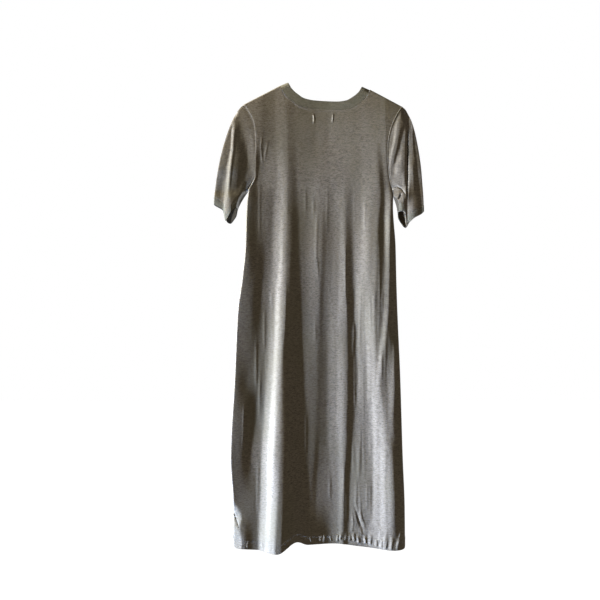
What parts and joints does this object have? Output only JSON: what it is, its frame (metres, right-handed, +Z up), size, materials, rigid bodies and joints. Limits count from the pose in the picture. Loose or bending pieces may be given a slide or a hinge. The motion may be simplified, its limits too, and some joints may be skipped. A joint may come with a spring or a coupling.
{
  "type": "t-shirt dress",
  "caption": "Straight calf-length t-shirt dress in heathered jersey with a crew neckband and banded short sleeves, hanging empty from its shoulders in long soft folds.",
  "frame": {"origin": "midway between the two shoulder points of the dress, at the height of the shoulder points, where it is held", "axes": "+Z up, towards the neck; +Y towards the front of the dress, so that its back faces -Y; +X towards the wearer's right"},
  "size_m": [0.5221, 0.1401, 1.1581],
  "materials": {
    "jersey": "matte heathered single jersey, grey-brown",
    "band_jersey": "matte folded jersey band, grey-brown with an olive cast"
  },
  "bodies": {
    "root": {"body_back": "jersey", "body_front": "jersey", "sleeve_left": "jersey", "sleeve_right": "jersey", "cuff_left": "band_jersey", "cuff_right": "band_jersey", "neckband": "band_jersey"}
  },
  "joints": []
}
